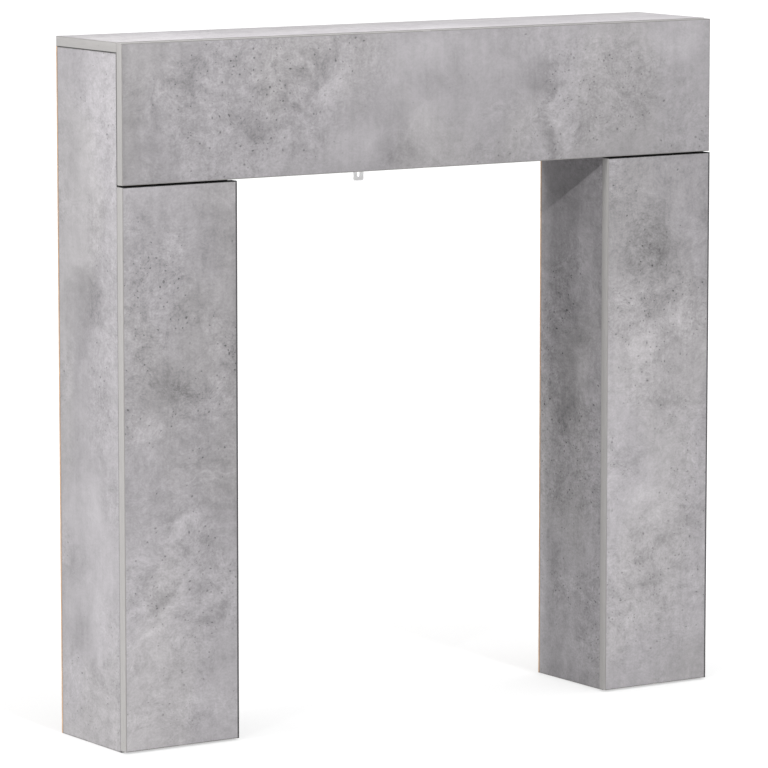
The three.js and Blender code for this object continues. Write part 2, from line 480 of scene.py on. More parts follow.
def dark_marks(tree, settings, print_place, place, rippled, porous):
    """The pin holes and hairlines, 1 where they are."""
    crowding = maths(tree, "POWER", porous, HOLE_CROWDING)
    marks = []
    for holes, where in ((FINE_HOLES, rippled), (COARSE_HOLES, place)):
        kept = maths(tree, "MULTIPLY", crowding, holes.share * settings.pores)
        marks.append(pin_holes(tree, where, holes.cells, holes.radius, kept))
    cracked = ramp(tree, noise(tree, print_place, HAIRLINE_SCALE, detail=1.0), *HAIRLINE_RANGE)
    share = maths(tree, "MULTIPLY", porous, HAIRLINE_SHARE * settings.pores)
    cracked = maths(tree, "MULTIPLY", cracked, share)
    cracks = hairlines(tree, place, HAIRLINE_CELLS, HAIRLINE_WIDTH, cracked)
    return maths(tree, "MAXIMUM", maths(tree, "MAXIMUM", *marks), cracks)


def pale_wisps(tree, place, rippled):
    """Thin wandering lines, 1 at their middle, that show in places only."""
    level = noise(tree, rippled, WISP_SCALE, detail=4.0, distortion=WISP_DISTORTION)
    line = ramp(tree, maths(tree, "ABSOLUTE", swing(tree, level, 1.0)), 0.0, WISP_WIDTH, 1.0, 0.0)
    return maths(tree, "MULTIPLY", line, ramp(tree, noise(tree, place, WISP_PLACES_SCALE), *WISP_RANGE))


def laminate_material(name, settings, half_width, half_length, offset, patches, rough, tone, contrast):
    """The printed and sealed concrete paper of one board.

    offset slides the board over the endless print, so no two boards show the same piece of it.
    patches are broad clouds, and on the right inner side also painted shade and light (centre, half widths,
    lean, strength); rough are the porous zones.
    """
    material, tree = new_material(name)
    reach = add_node(tree, "ShaderNodeUVMap", uv_map="reach").outputs[0]
    print_place = vector_maths(tree, "ADD", reach, (*offset, 0.0))

    # the print drifts a little, so nothing in it runs dead straight
    drift = drift_vector(tree, print_place, DRIFT_SCALE, DRIFT_DETAIL)
    place = vector_maths(tree, "ADD", print_place, scaled(tree, drift, PRINT_DRIFT))
    patch_place = vector_maths(tree, "ADD", reach, scaled(tree, drift, PATCH_DRIFT))
    upright = vector_maths(tree, "MULTIPLY", place, CLOUD_STRETCH)
    brushed = vector_maths(tree, "MULTIPLY", print_place, BRUSHED_STRETCH)
    streaked = vector_maths(tree, "MULTIPLY", place, STREAK_STRETCH)
    rippled = vector_maths(tree, "MULTIPLY", place, RIPPLE_STRETCH)

    porous = ramp(tree, noise(tree, place, POROUS_SCALE, POROUS_DETAIL), *POROUS_RANGE, *POROUS_LEVELS)
    for centre, size, lean, strength in rough:
        spot = maths(tree, "MULTIPLY", soft_patch(tree, patch_place, centre, size, lean), strength)
        porous = maths(tree, "ADD", porous, spot, clamp=True)

    chance = (CHANCE_SHARE if patches else 1.0) * settings.clouds
    tones = [
        noise_layer(tree, upright, BROAD_CLOUDS, chance),
        noise_layer(tree, upright, SMALL_CLOUDS, chance),
        noise_layer(tree, brushed, BRUSHING, settings.grain),
        noise_layer(tree, streaked, STREAKS, settings.clouds),
        mottling(tree, settings, rippled, porous),
    ]
    for centre, size, lean, strength in patches:
        patch = soft_patch(tree, patch_place, centre, size, lean)
        tones.append(maths(tree, "MULTIPLY", patch, PATCH_STRENGTH * strength))
    holes = dark_marks(tree, settings, print_place, place, rippled, porous)
    tones.append(maths(tree, "MULTIPLY", pale_wisps(tree, place, rippled), WISP_STRENGTH * settings.clouds))
    tones.append(maths(tree, "MULTIPLY", holes, HOLE_DARKENING))

    parts = add_node(tree, "ShaderNodeSeparateXYZ", {0: reach})
    from_side = maths(tree, "SUBTRACT", half_width, maths(tree, "ABSOLUTE", parts.outputs[0]))
    from_end = maths(tree, "SUBTRACT", half_length, maths(tree, "ABSOLUTE", parts.outputs[1]))
    from_edge = maths(tree, "MINIMUM", from_side, from_end)
    scuffed = ramp(tree, noise(tree, place, SCUFF_SCALE, detail=3.0), *SCUFF_RANGE)
    arris = maths(tree, "MULTIPLY", ramp(tree, from_edge, 0.0, ARRIS_WIDTH, 1.0, 0.0), scuffed)
    tones.append(maths(tree, "MULTIPLY", arris, ARRIS_STRENGTH))
    tones.append(ramp(tree, from_edge, *TRIM_LINE, TRIM_DARKENING, 0.0))
    tones.append(ramp(tree, from_edge, 0.0, EDGE_FADE_WIDTH, EDGE_FADE_DARKENING, 0.0))

    # tone scales the whole print; on the top board it is painted light from above
    shade = maths(tree, "MULTIPLY_ADD", summed(tree, tones), contrast * tone, tone)
    sandy = ramp(tree, noise(tree, upright, SANDY_SCALE), *SANDY_RANGE)
    colour = mix_colour(tree, sandy, opaque(settings.face_colour), opaque(settings.warm_colour))
    sheen = summed(tree, [
        noise_layer(tree, place, SHEEN_CLOUDS), noise_layer(tree, place, SHEEN_GRAIN),
        maths(tree, "MULTIPLY", holes, HOLE_DULLNESS), maths(tree, "MULTIPLY", arris, ARRIS_POLISH)])
    coarse_relief = noise(tree, print_place, COARSE_RELIEF_SCALE)
    fine_relief = noise(tree, print_place, FINE_RELIEF_SCALE, detail=1.0)
    relief = maths(tree, "ADD", coarse_relief, fine_relief)
    finish_material(
        tree, scaled(tree, colour, shade), maths(tree, "ADD", sheen, settings.roughness), relief, *PRINT_BUMP,
        {"Specular IOR Level": PRINT_SPECULAR})
    return material


# The edge band; the same units as the print

BAND_STRETCH = (1.0, 0.12, 1.0)
BAND_CLOUDS = Layer(26.0, 3.0, 0.5, 0.10)
BAND_GRAIN = Layer(330.0, 3.0, 0.6, 0.22)
BAND_SPECKS = Layer(700.0, 2.0, 0.5, 0.12)
BAND_HOLES = Holes(180.0, 0.0010, 0.10)
BAND_HOLE_DARKENING = -0.25
BAND_HOLE_DULLNESS = 0.2
# the band darkens along both its long edges
BAND_EDGE_LINE = (0.0006, 0.0014)
BAND_EDGE_DARKENING = -0.26
BAND_SHEEN = Layer(200.0, 2.0, 0.5, 0.12)
BAND_RELIEF = Layer(500.0, 2.0, 0.5, 0.4)
BAND_BUMP = (0.3, 0.0002)
# the band is this much smoother than the print
BAND_SMOOTHNESS = 0.05
BAND_GLOSS = 0.24
SLOT_GLOSS = 0.0
SEAM_GLOSS = 0.1


def band_material(name, settings, colour, half_width, gloss):
    """The thin band on a board's narrow edges: fine print brushed along its length, darker along its long
    edges.
    """
    material, tree = new_material(name)
    reach = add_node(tree, "ShaderNodeUVMap", uv_map="reach").outputs[0]
    along = vector_maths(tree, "MULTIPLY", reach, BAND_STRETCH)
    across = add_node(tree, "ShaderNodeSeparateXYZ", {0: reach})
    from_edge = maths(tree, "SUBTRACT", half_width, maths(tree, "ABSOLUTE", across.outputs[0]))
    holes = pin_holes(tree, reach, BAND_HOLES.cells, BAND_HOLES.radius, BAND_HOLES.share * settings.pores)
    tone = maths(tree, "ADD", 1.0, summed(tree, [
        noise_layer(tree, reach, BAND_CLOUDS, settings.clouds),
        noise_layer(tree, along, BAND_GRAIN, settings.grain),
        noise_layer(tree, reach, BAND_SPECKS, settings.grain),
        ramp(tree, from_edge, *BAND_EDGE_LINE, BAND_EDGE_DARKENING, 0.0),
        maths(tree, "MULTIPLY", holes, BAND_HOLE_DARKENING)]))
    sheen = summed(tree, [
        noise_layer(tree, along, BAND_SHEEN), maths(tree, "MULTIPLY", holes, BAND_HOLE_DULLNESS)])
    relief = summed(tree, [noise_layer(tree, along, BAND_RELIEF), maths(tree, "MULTIPLY", holes, -1.0)])
    finish_material(
        tree, scaled(tree, colour, tone), maths(tree, "ADD", sheen, settings.roughness - BAND_SMOOTHNESS),
        relief, *BAND_BUMP, {"Specular IOR Level": gloss})
    return material


# Hardboard; shares, and the cells and radius of its bark specks, are in fibre lengths

FIBRE_STRETCHES = ((0.22, 1.0, 1.0), (1.0, 1.0, 0.22))
FIBRE_SHARE = 1.3
# how the fibres tangle: the scale of the noise that bends them, and how many fibre lengths it moves them
TANGLE_SHARE = 0.12
TANGLE_REACH = 6.0
STRAND_RANGE = (0.60, 0.74)
FLAKE_SHARE = 0.35
FLAKE_RANGE = (0.4, 0.65)
BARK = Holes(0.45, 0.35, 0.16)
SCUFF_STRETCH = (1.0, 1.0, 0.3)
HARDBOARD_SCUFF_SCALE = 11.0
HARDBOARD_SCUFF_RANGE = (0.55, 0.75)
HARDBOARD_CLOUDS = Layer(4.0, 3.0, 0.5, 0.34)
FLAKE_SWING = 0.55
FIBRE_SWING = 0.9
STRAND_STRENGTH = 0.16
HARDBOARD_SCUFF_STRENGTH = 0.10
BARK_DARKENING = -0.45
HARDBOARD_BUMP = (0.6, 0.0004)
HARDBOARD_ROUGHNESS = 0.66
FIBRE_SHEEN = 0.4
HARDBOARD_SPECULAR = 0.3


def hardboard_material(name, colour, pale_colour, fibre_size):
    """Pressed brown fibreboard: short tangled fibres, pale strands, specks of bark, a dull scuffed face."""
    material, tree = new_material(name)
    place = add_node(tree, "ShaderNodeTexCoord").outputs["Object"]
    fine = 1.0 / fibre_size
    tangle = noise_vector(tree, place, fine * TANGLE_SHARE, detail=2.0)
    bent = scaled(tree, tangle, fibre_size * TANGLE_REACH)
    tangled = vector_maths(tree, "ADD", place, bent)
    fibres = maths(tree, "MAXIMUM", *(
        noise(tree, vector_maths(tree, "MULTIPLY", tangled, stretch), fine * FIBRE_SHARE,
              detail=3.0, roughness=0.6)
        for stretch in FIBRE_STRETCHES))
    strands = ramp(tree, fibres, *STRAND_RANGE)
    flakes = noise(tree, place, fine * FLAKE_SHARE, detail=4.0, roughness=0.65)
    specks = pin_holes(tree, place, fine * BARK.cells, fibre_size * BARK.radius, BARK.share)
    scuffed_place = vector_maths(tree, "MULTIPLY", place, SCUFF_STRETCH)
    scuff_noise = noise(tree, scuffed_place, HARDBOARD_SCUFF_SCALE, detail=5.0, roughness=0.65)
    scuffs = ramp(tree, scuff_noise, *HARDBOARD_SCUFF_RANGE)
    tone = maths(tree, "ADD", 1.0, summed(tree, [
        noise_layer(tree, place, HARDBOARD_CLOUDS), swing(tree, flakes, FLAKE_SWING),
        swing(tree, fibres, FIBRE_SWING), maths(tree, "MULTIPLY", strands, STRAND_STRENGTH),
        maths(tree, "MULTIPLY", scuffs, HARDBOARD_SCUFF_STRENGTH),
        maths(tree, "MULTIPLY", specks, BARK_DARKENING)]))
    tinted = mix_colour(tree, ramp(tree, flakes, *FLAKE_RANGE), opaque(colour), opaque(pale_colour))
    roughness = maths(tree, "ADD", HARDBOARD_ROUGHNESS, swing(tree, fibres, FIBRE_SHEEN))
    finish_material(
        tree, scaled(tree, tinted, tone), roughness, fibres, *HARDBOARD_BUMP,
        {"Specular IOR Level": HARDBOARD_SPECULAR})
    return material


# Bracket paint

PEEL_SCALE = 1400.0
PEEL_SWING = 0.05
DUST_SCALE = 160.0
DUST_DETAIL = 3.0
DUST_SWING = 0.12
DUST_SHEEN = 0.25
PAINT_BUMP = (0.2, 0.0001)


def bracket_material(name, colour, roughness):
    """Pale paint on bent sheet steel: slight orange peel, with rubbed and dusty places."""
    material, tree = new_material(name)
    place = add_node(tree, "ShaderNodeTexCoord").outputs["Object"]
    peel = noise(tree, place, PEEL_SCALE)
    dust = noise(tree, place, DUST_SCALE, DUST_DETAIL)
    unevenness = summed(tree, [swing(tree, dust, DUST_SWING), swing(tree, peel, PEEL_SWING)])
    tone = maths(tree, "ADD", 1.0, unevenness)
    finish_material(
        tree, scaled(tree, colour, tone), maths(tree, "ADD", roughness, swing(tree, dust, DUST_SHEEN)), peel,
        *PAINT_BUMP, {"Specular IOR Level": 0.5, "Coat Weight": 0.15, "Coat Roughness": 0.25})
    return material


# Meshes

BEVEL_STEPS = 3
SHARP_ANGLE = math.radians(40)
# how near to 1 a part of a face's normal is where the face is flat that way, or no longer rounded
FLAT = 0.999
UNROUNDED = 0.99
# least part of a face's normal that counts as turned that way, and as looking to the front
TURNED = 0.1
FACING = 0.6
# least area of a printed face, against the slivers of band beside it
PRINTED_AREA = 0.01
CUT_TOLERANCE = 1e-6
# a board's materials in their order, those that paint shade on its edges last
PRINT, BAND, RIGHT_EDGE_SHADE, SLOT_SHADE = range(4)


def rounded_board(low, high, radius):
    """A board as a bmesh: its box with every edge rounded in a few steps."""
    made = bmesh.new()
    bmesh.ops.create_cube(made, size=1.0)
    middle, size = (low + high) / 2, high - low
    for vert in made.verts:
        vert.co = middle + Vector(vert.co[i] * size[i] for i in range(3))
    bmesh.ops.bevel(made, geom=made.edges[:], offset=radius, segments=BEVEL_STEPS, profile=0.5,
                    affect="EDGES", clamp_overlap=True)
    made.normal_update()
    return made


def face_axis(normal):
    return max(range(3), key=lambda i: abs(normal[i]))


def other_axis(first, second):
    """The axis that is neither of these two."""
    return X + Y + Z - first - second


def score_glue_line(made, thickness_axis, band, radius, line):
    """Cuts the fine sunk line between the edge band and the two printed faces."""
    faces = [f for f in made.faces if abs(f.normal[thickness_axis]) > FLAT]
    sunk = line / 3
    for thickness, depth in ((band - radius, 0.0), (line / 2, -sunk), (line / 2, sunk)):
        bmesh.ops.inset_region(made, faces=faces, thickness=thickness, depth=depth, use_even_offset=True)
    made.normal_update()
    return set(faces)


def lay_print(made, low, high, thickness_axis, grain_axis):
    """Gives every face its place on the print, in metres from the board's middle, v along the grain."""
    middle = (low + high) / 2
    across_axis = other_axis(thickness_axis, grain_axis)
    layer = made.loops.layers.uv.new("reach")
    for face in made.faces:
        axis = face_axis(face.normal)
        if axis == thickness_axis:
            u_axis, v_axis = across_axis, grain_axis
        elif axis == across_axis:
            u_axis, v_axis = thickness_axis, grain_axis
        else:
            u_axis, v_axis = thickness_axis, across_axis
        for loop in face.loops:
            here = loop.vert.co - middle
            loop[layer].uv = (here[u_axis], here[v_axis])


def show_piece(name, made, materials, node):
    mesh = bpy.data.meshes.new(name)
    made.to_mesh(mesh)
    made.free()
    for material in materials:
        mesh.materials.append(material)
    for polygon in mesh.polygons:
        polygon.use_smooth = True
    mesh.set_sharp_from_angle(angle=SHARP_ANGLE)
    piece = bpy.data.objects.new(name, mesh)
    bpy.context.scene.collection.objects.link(piece)
    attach(piece, BODY)
    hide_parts(node)


def make_board(name, node, thickness_axis, grain_axis, offset, patches=(), rough=(), with_painted_edge_shade=False, seams=(),
               tone=1.0, contrast=1.0):
    """One laminated board in the place of its CAD node.

    On a leg front, shade is painted in a strip down its right edge, where the rounded edge turns from the
    light, and on its upper edge, deep in the shadow slot. seams names the sides, as axis and sign, whose
    rounded edges lie in a joint with the next board and get painted shade there.
    """
    settings = bpy.context.scene.mantelpiece
    board, laminate = settings.board, settings.laminate
    low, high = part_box(node)
    half = (high - low) / 2
    made = rounded_board(low, high, board.edge_radius)
    printed = score_glue_line(made, thickness_axis, board.band_thickness, board.edge_radius, board.glue_line)
    strip = high[X] - board.right_edge_shade_width
    slot_height = high[Z] - board.band_thickness
    # the front is cut where the strip of painted shade begins
    if with_painted_edge_shade:
        bmesh.ops.bisect_plane(made, geom=made.verts[:] + made.edges[:] + made.faces[:], dist=CUT_TOLERANCE,
                               plane_co=(strip, 0, 0), plane_no=(1, 0, 0))
        made.normal_update()

    across_axis = other_axis(thickness_axis, grain_axis)
    edges = [("_band", laminate.band_colour, half[thickness_axis], BAND_GLOSS)]
    if with_painted_edge_shade:
        # the painted shade down the right edge
        edges.append(("_right_edge_shade", laminate.right_edge_shade_colour, half[across_axis], BAND_GLOSS))
        # painted shade on the upper edge, deep in the slot under the header
        edges.append(("_slot_shade", laminate.slot_shade_colour, half[thickness_axis], SLOT_GLOSS))
    if seams:
        # painted shade on rounded edges that lie in a joint
        edges.append(("_seam_shade", laminate.seam_shade_colour, half[thickness_axis], SEAM_GLOSS))
    materials = [laminate_material(name + "_print", laminate, half[across_axis], half[grain_axis], offset,
                                   patches, rough, tone, contrast)]
    for ending, colour, half_width, gloss in edges:
        materials.append(band_material(name + ending, laminate, colour, half_width, gloss))

    for face in made.faces:
        flat = abs(face.normal[thickness_axis]) > FLAT
        middle = face.calc_center_median()
        face.material_index = BAND
        if face in printed or (with_painted_edge_shade and flat and face.calc_area() > PRINTED_AREA):
            face.material_index = PRINT
        # painted shade on the front, down the right edge
        if with_painted_edge_shade and face.normal[Y] < -FACING and middle[X] > strip:
            face.material_index = RIGHT_EDGE_SHADE
        # painted shade on the upper edge, deep in the slot under the header
        if with_painted_edge_shade and (face.normal[Z] > TURNED or middle[Z] > slot_height):
            face.material_index = SLOT_SHADE
        # painted shade on rounded edges that lie in a joint with the next board
        if any(TURNED < face.normal[axis] * sign < UNROUNDED for axis, sign in seams):
            face.material_index = len(edges)
    lay_print(made, low, high, thickness_axis, grain_axis)
    show_piece(name, made, materials, node)


# Clouds and porous zones that the photo shows; on the right inner side the two broadest paint shade and
# light. Each is a
# soft oval: its centre from the board's middle, across and along the grain, its two half widths, its lean in
# radians, and its strength.

TOP_CLOUDS = [((0.0, 0.45), (0.90, 0.95), 0.0, 0.07)]

HEADER_CLOUDS = [
    ((0.205, 0.028), (0.044, 0.052), 0.9, -0.19), ((0.222, -0.045), (0.015, 0.100), 0.0, -0.12),
    ((0.250, -0.010), (0.030, 0.070), -0.2, 0.07),
    ((-0.191, 0.060), (0.030, 0.030), 0.0, -0.12), ((-0.298, -0.028), (0.030, 0.026), 0.3, -0.12),
    ((-0.339, 0.072), (0.060, 0.030), 0.0, -0.06), ((-0.415, 0.055), (0.030, 0.060), 0.0, -0.07),
    ((-0.160, 0.020), (0.035, 0.060), -0.3, 0.13), ((-0.120, -0.055), (0.070, 0.045), 0.2, 0.11),
    ((0.002, 0.070), (0.070, 0.045), 0.0, 0.12), ((-0.005, -0.020), (0.060, 0.060), 0.5, 0.09),
    ((-0.050, -0.070), (0.060, 0.035), 0.0, -0.10), ((-0.110, 0.085), (0.050, 0.035), 0.0, -0.06),
    ((0.460, 0.075), (0.070, 0.060), 0.0, 0.12), ((-0.455, 0.010), (0.030, 0.070), 0.0, 0.05),
    ((0.100, 0.060), (0.070, 0.050), -0.6, 0.05), ((0.400, -0.010), (0.080, 0.050), 0.4, -0.05),
    ((-0.620, 0.0), (0.85, 1.60), 0.0, -0.12), ((-0.300, -0.100), (0.45, 0.13), 0.0, 0.11),
    ((-0.370, 0.075), (0.100, 0.040), 0.0, -0.04),
    ((-0.262, 0.066), (0.014, 0.008), 0.0, -0.14), ((-0.224, 0.061), (0.016, 0.013), 0.3, -0.14),
    ((-0.178, 0.043), (0.014, 0.012), 0.0, -0.08), ((-0.322, -0.007), (0.018, 0.009), 0.6, -0.13),
    ((-0.231, -0.002), (0.024, 0.012), 0.0, -0.10), ((-0.405, 0.044), (0.010, 0.060), 0.0, -0.08),
    ((-0.470, 0.013), (0.006, 0.035), 0.0, -0.10), ((0.267, -0.053), (0.030, 0.004), 0.1, -0.12),
]
HEADER_PORES = [
    ((-0.300, 0.0), (0.22, 0.16), 0.0, 1.3), ((0.330, 0.0), (0.15, 0.12), 0.2, 1.9),
    ((0.02, 0.0), (0.20, 0.16), 0.0, -0.6),
]

OUTER_SIDE_CLOUDS = [
    ((-0.02, 0.42), (0.06, 0.09), 0.0, 0.04), ((0.035, 0.35), (0.03, 0.05), 0.0, -0.07),
    ((-0.03, 0.27), (0.06, 0.09), 0.0, -0.04), ((0.045, 0.20), (0.04, 0.03), 0.0, 0.06),
    ((0.005, 0.15), (0.10, 0.060), 0.3, -0.14), ((0.035, 0.09), (0.03, 0.06), 0.0, -0.10),
    ((-0.047, 0.06), (0.03, 0.09), 0.0, 0.02), ((0.030, -0.08), (0.05, 0.06), 0.0, -0.06),
    ((-0.006, -0.16), (0.05, 0.07), 0.0, 0.09), ((0.052, -0.25), (0.035, 0.07), 0.0, -0.09),
    ((0.035, -0.35), (0.04, 0.06), 0.0, -0.11), ((-0.034, -0.33), (0.04, 0.08), 0.0, 0.07),
    ((-0.020, -0.41), (0.05, 0.03), 0.4, -0.08), ((0.0, 0.08), (0.2, 0.28), 0.0, -0.10),
]
OUTER_SIDE_PORES = [
    ((-0.034, -0.02), (0.06, 0.10), 0.0, 0.9), ((0.03, 0.10), (0.07, 0.45), 0.0, -0.5),
    ((0.0, -0.25), (0.08, 0.20), 0.0, -0.5),
]

INNER_SIDE_CLOUDS_AND_PAINTED_LIGHT = [
    # the first two span the board: painted shade on its upper part, under the header, and painted light on
    # its lower part
    ((0.0, 0.16), (0.50, 0.36), 0.0, -0.08), ((0.0, -0.36), (0.50, 0.30), 0.0, 0.05),
    ((0.050, 0.17), (0.05, 0.12), 0.0, 0.02), ((-0.035, 0.23), (0.05, 0.14), 0.0, 0.10),
    ((0.026, 0.004), (0.05, 0.06), 0.0, -0.08), ((-0.034, 0.072), (0.05, 0.07), 0.0, 0.09),
    ((0.030, -0.11), (0.04, 0.07), 0.0, -0.09), ((0.042, -0.232), (0.04, 0.06), 0.0, -0.12),
    ((-0.049, -0.184), (0.03, 0.09), 0.0, 0.07), ((-0.019, -0.361), (0.05, 0.05), 0.0, 0.08),
]
INNER_SIDE_PORES = [
    ((0.045, 0.17), (0.05, 0.11), 0.0, 0.7), ((0.0, -0.28), (0.07, 0.08), 0.0, 0.5),
    ((0.0, -0.10), (0.30, 0.60), 0.0, 0.5),
]

LEFT_LEG_CLOUDS = [
    ((0.032, 0.225), (0.045, 0.040), 0.4, -0.06), ((0.000, 0.325), (0.060, 0.050), 0.0, 0.07),
    ((0.056, 0.340), (0.040, 0.060), 0.0, -0.05), ((0.050, 0.250), (0.060, 0.110), 0.0, 0.05),
    ((-0.050, 0.375), (0.070, 0.050), 0.0, -0.08), ((-0.015, 0.115), (0.080, 0.050), 0.0, -0.12),
    ((-0.060, 0.045), (0.050, 0.030), 0.2, 0.07), ((0.030, -0.019), (0.090, 0.003), 0.05, 0.09),
    ((0.030, -0.029), (0.080, 0.003), 0.05, 0.07), ((0.000, -0.088), (0.065, 0.014), 0.35, 0.17),
    ((0.055, -0.120), (0.050, 0.018), -0.5, -0.08), ((-0.005, -0.150), (0.060, 0.030), 0.3, 0.09),
    ((-0.035, -0.195), (0.060, 0.013), 0.75, -0.18), ((-0.060, -0.165), (0.030, 0.035), 0.0, -0.06),
    ((-0.055, -0.255), (0.060, 0.014), 0.6, 0.13), ((0.045, -0.225), (0.065, 0.016), 0.5, -0.13),
    ((0.055, -0.285), (0.050, 0.030), 0.3, -0.08), ((0.010, -0.345), (0.080, 0.035), 0.2, 0.06),
    # the last two span the whole board, darkening its upper part and lightening its lower part
    ((0.0, 0.16), (0.60, 0.55), 0.0, -0.125), ((0.0, -0.34), (0.60, 0.36), 0.0, 0.11),
]
LEFT_LEG_PORES = [
    ((-0.055, 0.195), (0.050, 0.110), -0.3, 1.7), ((0.01, -0.18), (0.10, 0.17), 0.0, 1.2),
    ((0.0, -0.36), (0.12, 0.10), 0.0, 0.7), ((0.0, 0.0), (0.40, 0.90), 0.0, 0.35),
]

RIGHT_LEG_CLOUDS = [
    ((-0.030, 0.370), (0.070, 0.040), 0.0, 0.05), ((-0.010, 0.260), (0.130, 0.050), 0.1, -0.12),
    ((0.060, 0.215), (0.050, 0.030), 0.0, -0.05), ((0.055, 0.230), (0.060, 0.180), 0.0, 0.07),
    ((-0.050, 0.200), (0.040, 0.040), 0.0, 0.05),
    ((0.040, 0.150), (0.055, 0.035), 0.0, 0.09), ((-0.035, 0.120), (0.050, 0.045), 0.0, 0.12),
    ((0.010, 0.030), (0.080, 0.020), 0.1, -0.07), ((0.000, 0.075), (0.060, 0.025), 0.0, 0.07),
    ((-0.062, -0.055), (0.030, 0.040), 0.0, -0.07), ((-0.020, -0.115), (0.060, 0.030), 0.3, 0.10),
    ((0.060, -0.160), (0.065, 0.026), 0.55, -0.11), ((0.010, -0.195), (0.075, 0.020), 0.5, -0.09),
    ((-0.010, -0.155), (0.060, 0.014), 0.6, 0.07),
    ((-0.015, -0.240), (0.070, 0.020), 0.15, -0.13), ((-0.030, -0.295), (0.060, 0.025), 0.3, 0.11),
    ((0.060, -0.320), (0.050, 0.035), 0.0, 0.08), ((0.020, -0.375), (0.080, 0.020), 0.0, -0.05),
    # the last three span the whole board, darkening its upper part and lightening its lower part
    ((0.0, 0.34), (0.60, 0.36), 0.0, -0.18), ((0.0, -0.05), (0.60, 0.30), 0.0, 0.02),
    ((0.0, -0.30), (0.60, 0.40), 0.0, 0.05),
]
RIGHT_LEG_PORES = [
    ((-0.03, 0.28), (0.08, 0.10), 0.0, 0.4), ((-0.05, -0.25), (0.07, 0.06), 0.0, 0.6),
    ((0.0, -0.26), (0.14, 0.20), 0.0, 0.8), ((0.0, 0.0), (0.40, 0.90), 0.0, 0.35),
]


# Operators, one for each piece or group of like pieces

# an outer side meets the top board above it and the fronts before it; painted shade goes on the rounded edges
# in these joints, and on the top board's lower ones
OUTER_SIDE_SEAMS = ((Z, 1), (Y, -1))
TOP_SEAMS = ((Z, -1),)
# painted light: the top board's print is made this much lighter, for the brighter light that falls on it from
# above
TOP_PAINTED_LIGHT = 1.16
INNER_SIDE_CONTRAST = 1.3


class MANTELPIECE_OT_top_board(bpy.types.Operator):
    """Lay the top board, its print running lengthwise"""

    bl_idname = "mantelpiece.top_board"
    bl_label = "Top Board"

    def execute(self, context):
        make_board("top_shelf", "top_board", Z, X, offset=(3.1, 7.4), patches=TOP_CLOUDS, seams=TOP_SEAMS,
                   tone=TOP_PAINTED_LIGHT)
        return {"FINISHED"}


class MANTELPIECE_OT_header(bpy.types.Operator):
    """Hang the header's printed front and close it below"""

    bl_idname = "mantelpiece.header"
    bl_label = "Header"

    def execute(self, context):
        make_board("header_face", "header_front", Y, Z, offset=(0.0, 0.0), patches=HEADER_CLOUDS,
                   rough=HEADER_PORES)
        make_board("header_underside", "header_bottom_board", Z, X, offset=(5.2, 1.7))
        return {"FINISHED"}


class MANTELPIECE_OT_outer_sides(bpy.types.Operator):
    """Stand the two full-height outer sides"""

    bl_idname = "mantelpiece.outer_sides"
    bl_label = "Outer Sides"

    def execute(self, context):
        make_board("left_cheek_board", "left_outer_side", X, Z, offset=(9.3, 2.2), patches=OUTER_SIDE_CLOUDS,
                   rough=OUTER_SIDE_PORES, seams=OUTER_SIDE_SEAMS)
        make_board("right_cheek_board", "right_outer_side", X, Z, offset=(11.8, 4.1), seams=OUTER_SIDE_SEAMS)
        return {"FINISHED"}


class MANTELPIECE_OT_inner_sides(bpy.types.Operator):
    """Stand the two shorter sides that face the opening"""

    bl_idname = "mantelpiece.inner_sides"
    bl_label = "Inner Sides"

    def execute(self, context):
        make_board("left_jamb_board", "left_inner_side", X, Z, offset=(13.7, 6.9))
        make_board("right_jamb_board", "right_inner_side", X, Z, offset=(15.2, 8.3),
                   patches=INNER_SIDE_CLOUDS_AND_PAINTED_LIGHT, rough=INNER_SIDE_PORES, contrast=INNER_SIDE_CONTRAST)
        return {"FINISHED"}


class MANTELPIECE_OT_leg_fronts(bpy.types.Operator):
    """Hang the two leg fronts, each with painted shade in a strip down its right edge"""

    bl_idname = "mantelpiece.leg_fronts"
    bl_label = "Leg Fronts"

    def execute(self, context):
        make_board("left_leg_face", "left_leg_front", Y, Z, offset=(17.4, 3.3), patches=LEFT_LEG_CLOUDS,
                   rough=LEFT_LEG_PORES, with_painted_edge_shade=True)
        make_board("right_leg_face", "right_leg_front", Y, Z, offset=(19.9, 5.6), patches=RIGHT_LEG_CLOUDS,
                   rough=RIGHT_LEG_PORES, with_painted_edge_shade=True)
        return {"FINISHED"}


def paint_node(name, material):
    """Gives a CAD node that is shown as it is its only material."""
    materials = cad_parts[name].data.materials
    materials.clear()
    materials.append(material)


class MANTELPIECE_OT_back_panels(bpy.types.Operator):
    """Finish the thin hardboard panels that close the legs and the header at the back"""

    bl_idname = "mantelpiece.back_panels"
    bl_label = "Back Panels"

    def execute(self, context):
        settings = context.scene.mantelpiece.fitting
        material = hardboard_material(
            "hardboard", settings.hardboard_colour, settings.flake_colour, settings.fibre_size)
        for name in ("left_leg_back_panel", "right_leg_back_panel", "header_back_panel"):
            paint_node(name, material)
        return {"FINISHED"}


class MANTELPIECE_OT_wall_bracket(bpy.types.Operator):
    """Paint the bent bracket that screws to the wall"""

    bl_idname = "mantelpiece.wall_bracket"
    bl_label = "Wall Bracket"

    def execute(self, context):
        settings = context.scene.mantelpiece.fitting
        paint = bracket_material("bracket_paint", settings.metal_colour, settings.metal_roughness)
        paint_node("wall_bracket", paint)
        return {"FINISHED"}


# The studio

FLOOR_SIDES = 96
FLOOR_ROUGHNESS = 0.9
FLOOR_SPECULAR = 0.1
# how closely the brightness of the surround gathers overhead
CEILING_FOCUS = 4.0
LAMP_DISTANCE = 6.0
SENSOR_WIDTH = 36.0
FARTHEST_VIEW = 200.0


def around(azimuth, elevation):
    """Direction from the object towards something left of its front by azimuth."""
    return Vector((-math.sin(azimuth) * math.cos(elevation), -math.cos(azimuth) * math.cos(elevation),
                   math.sin(elevation)))


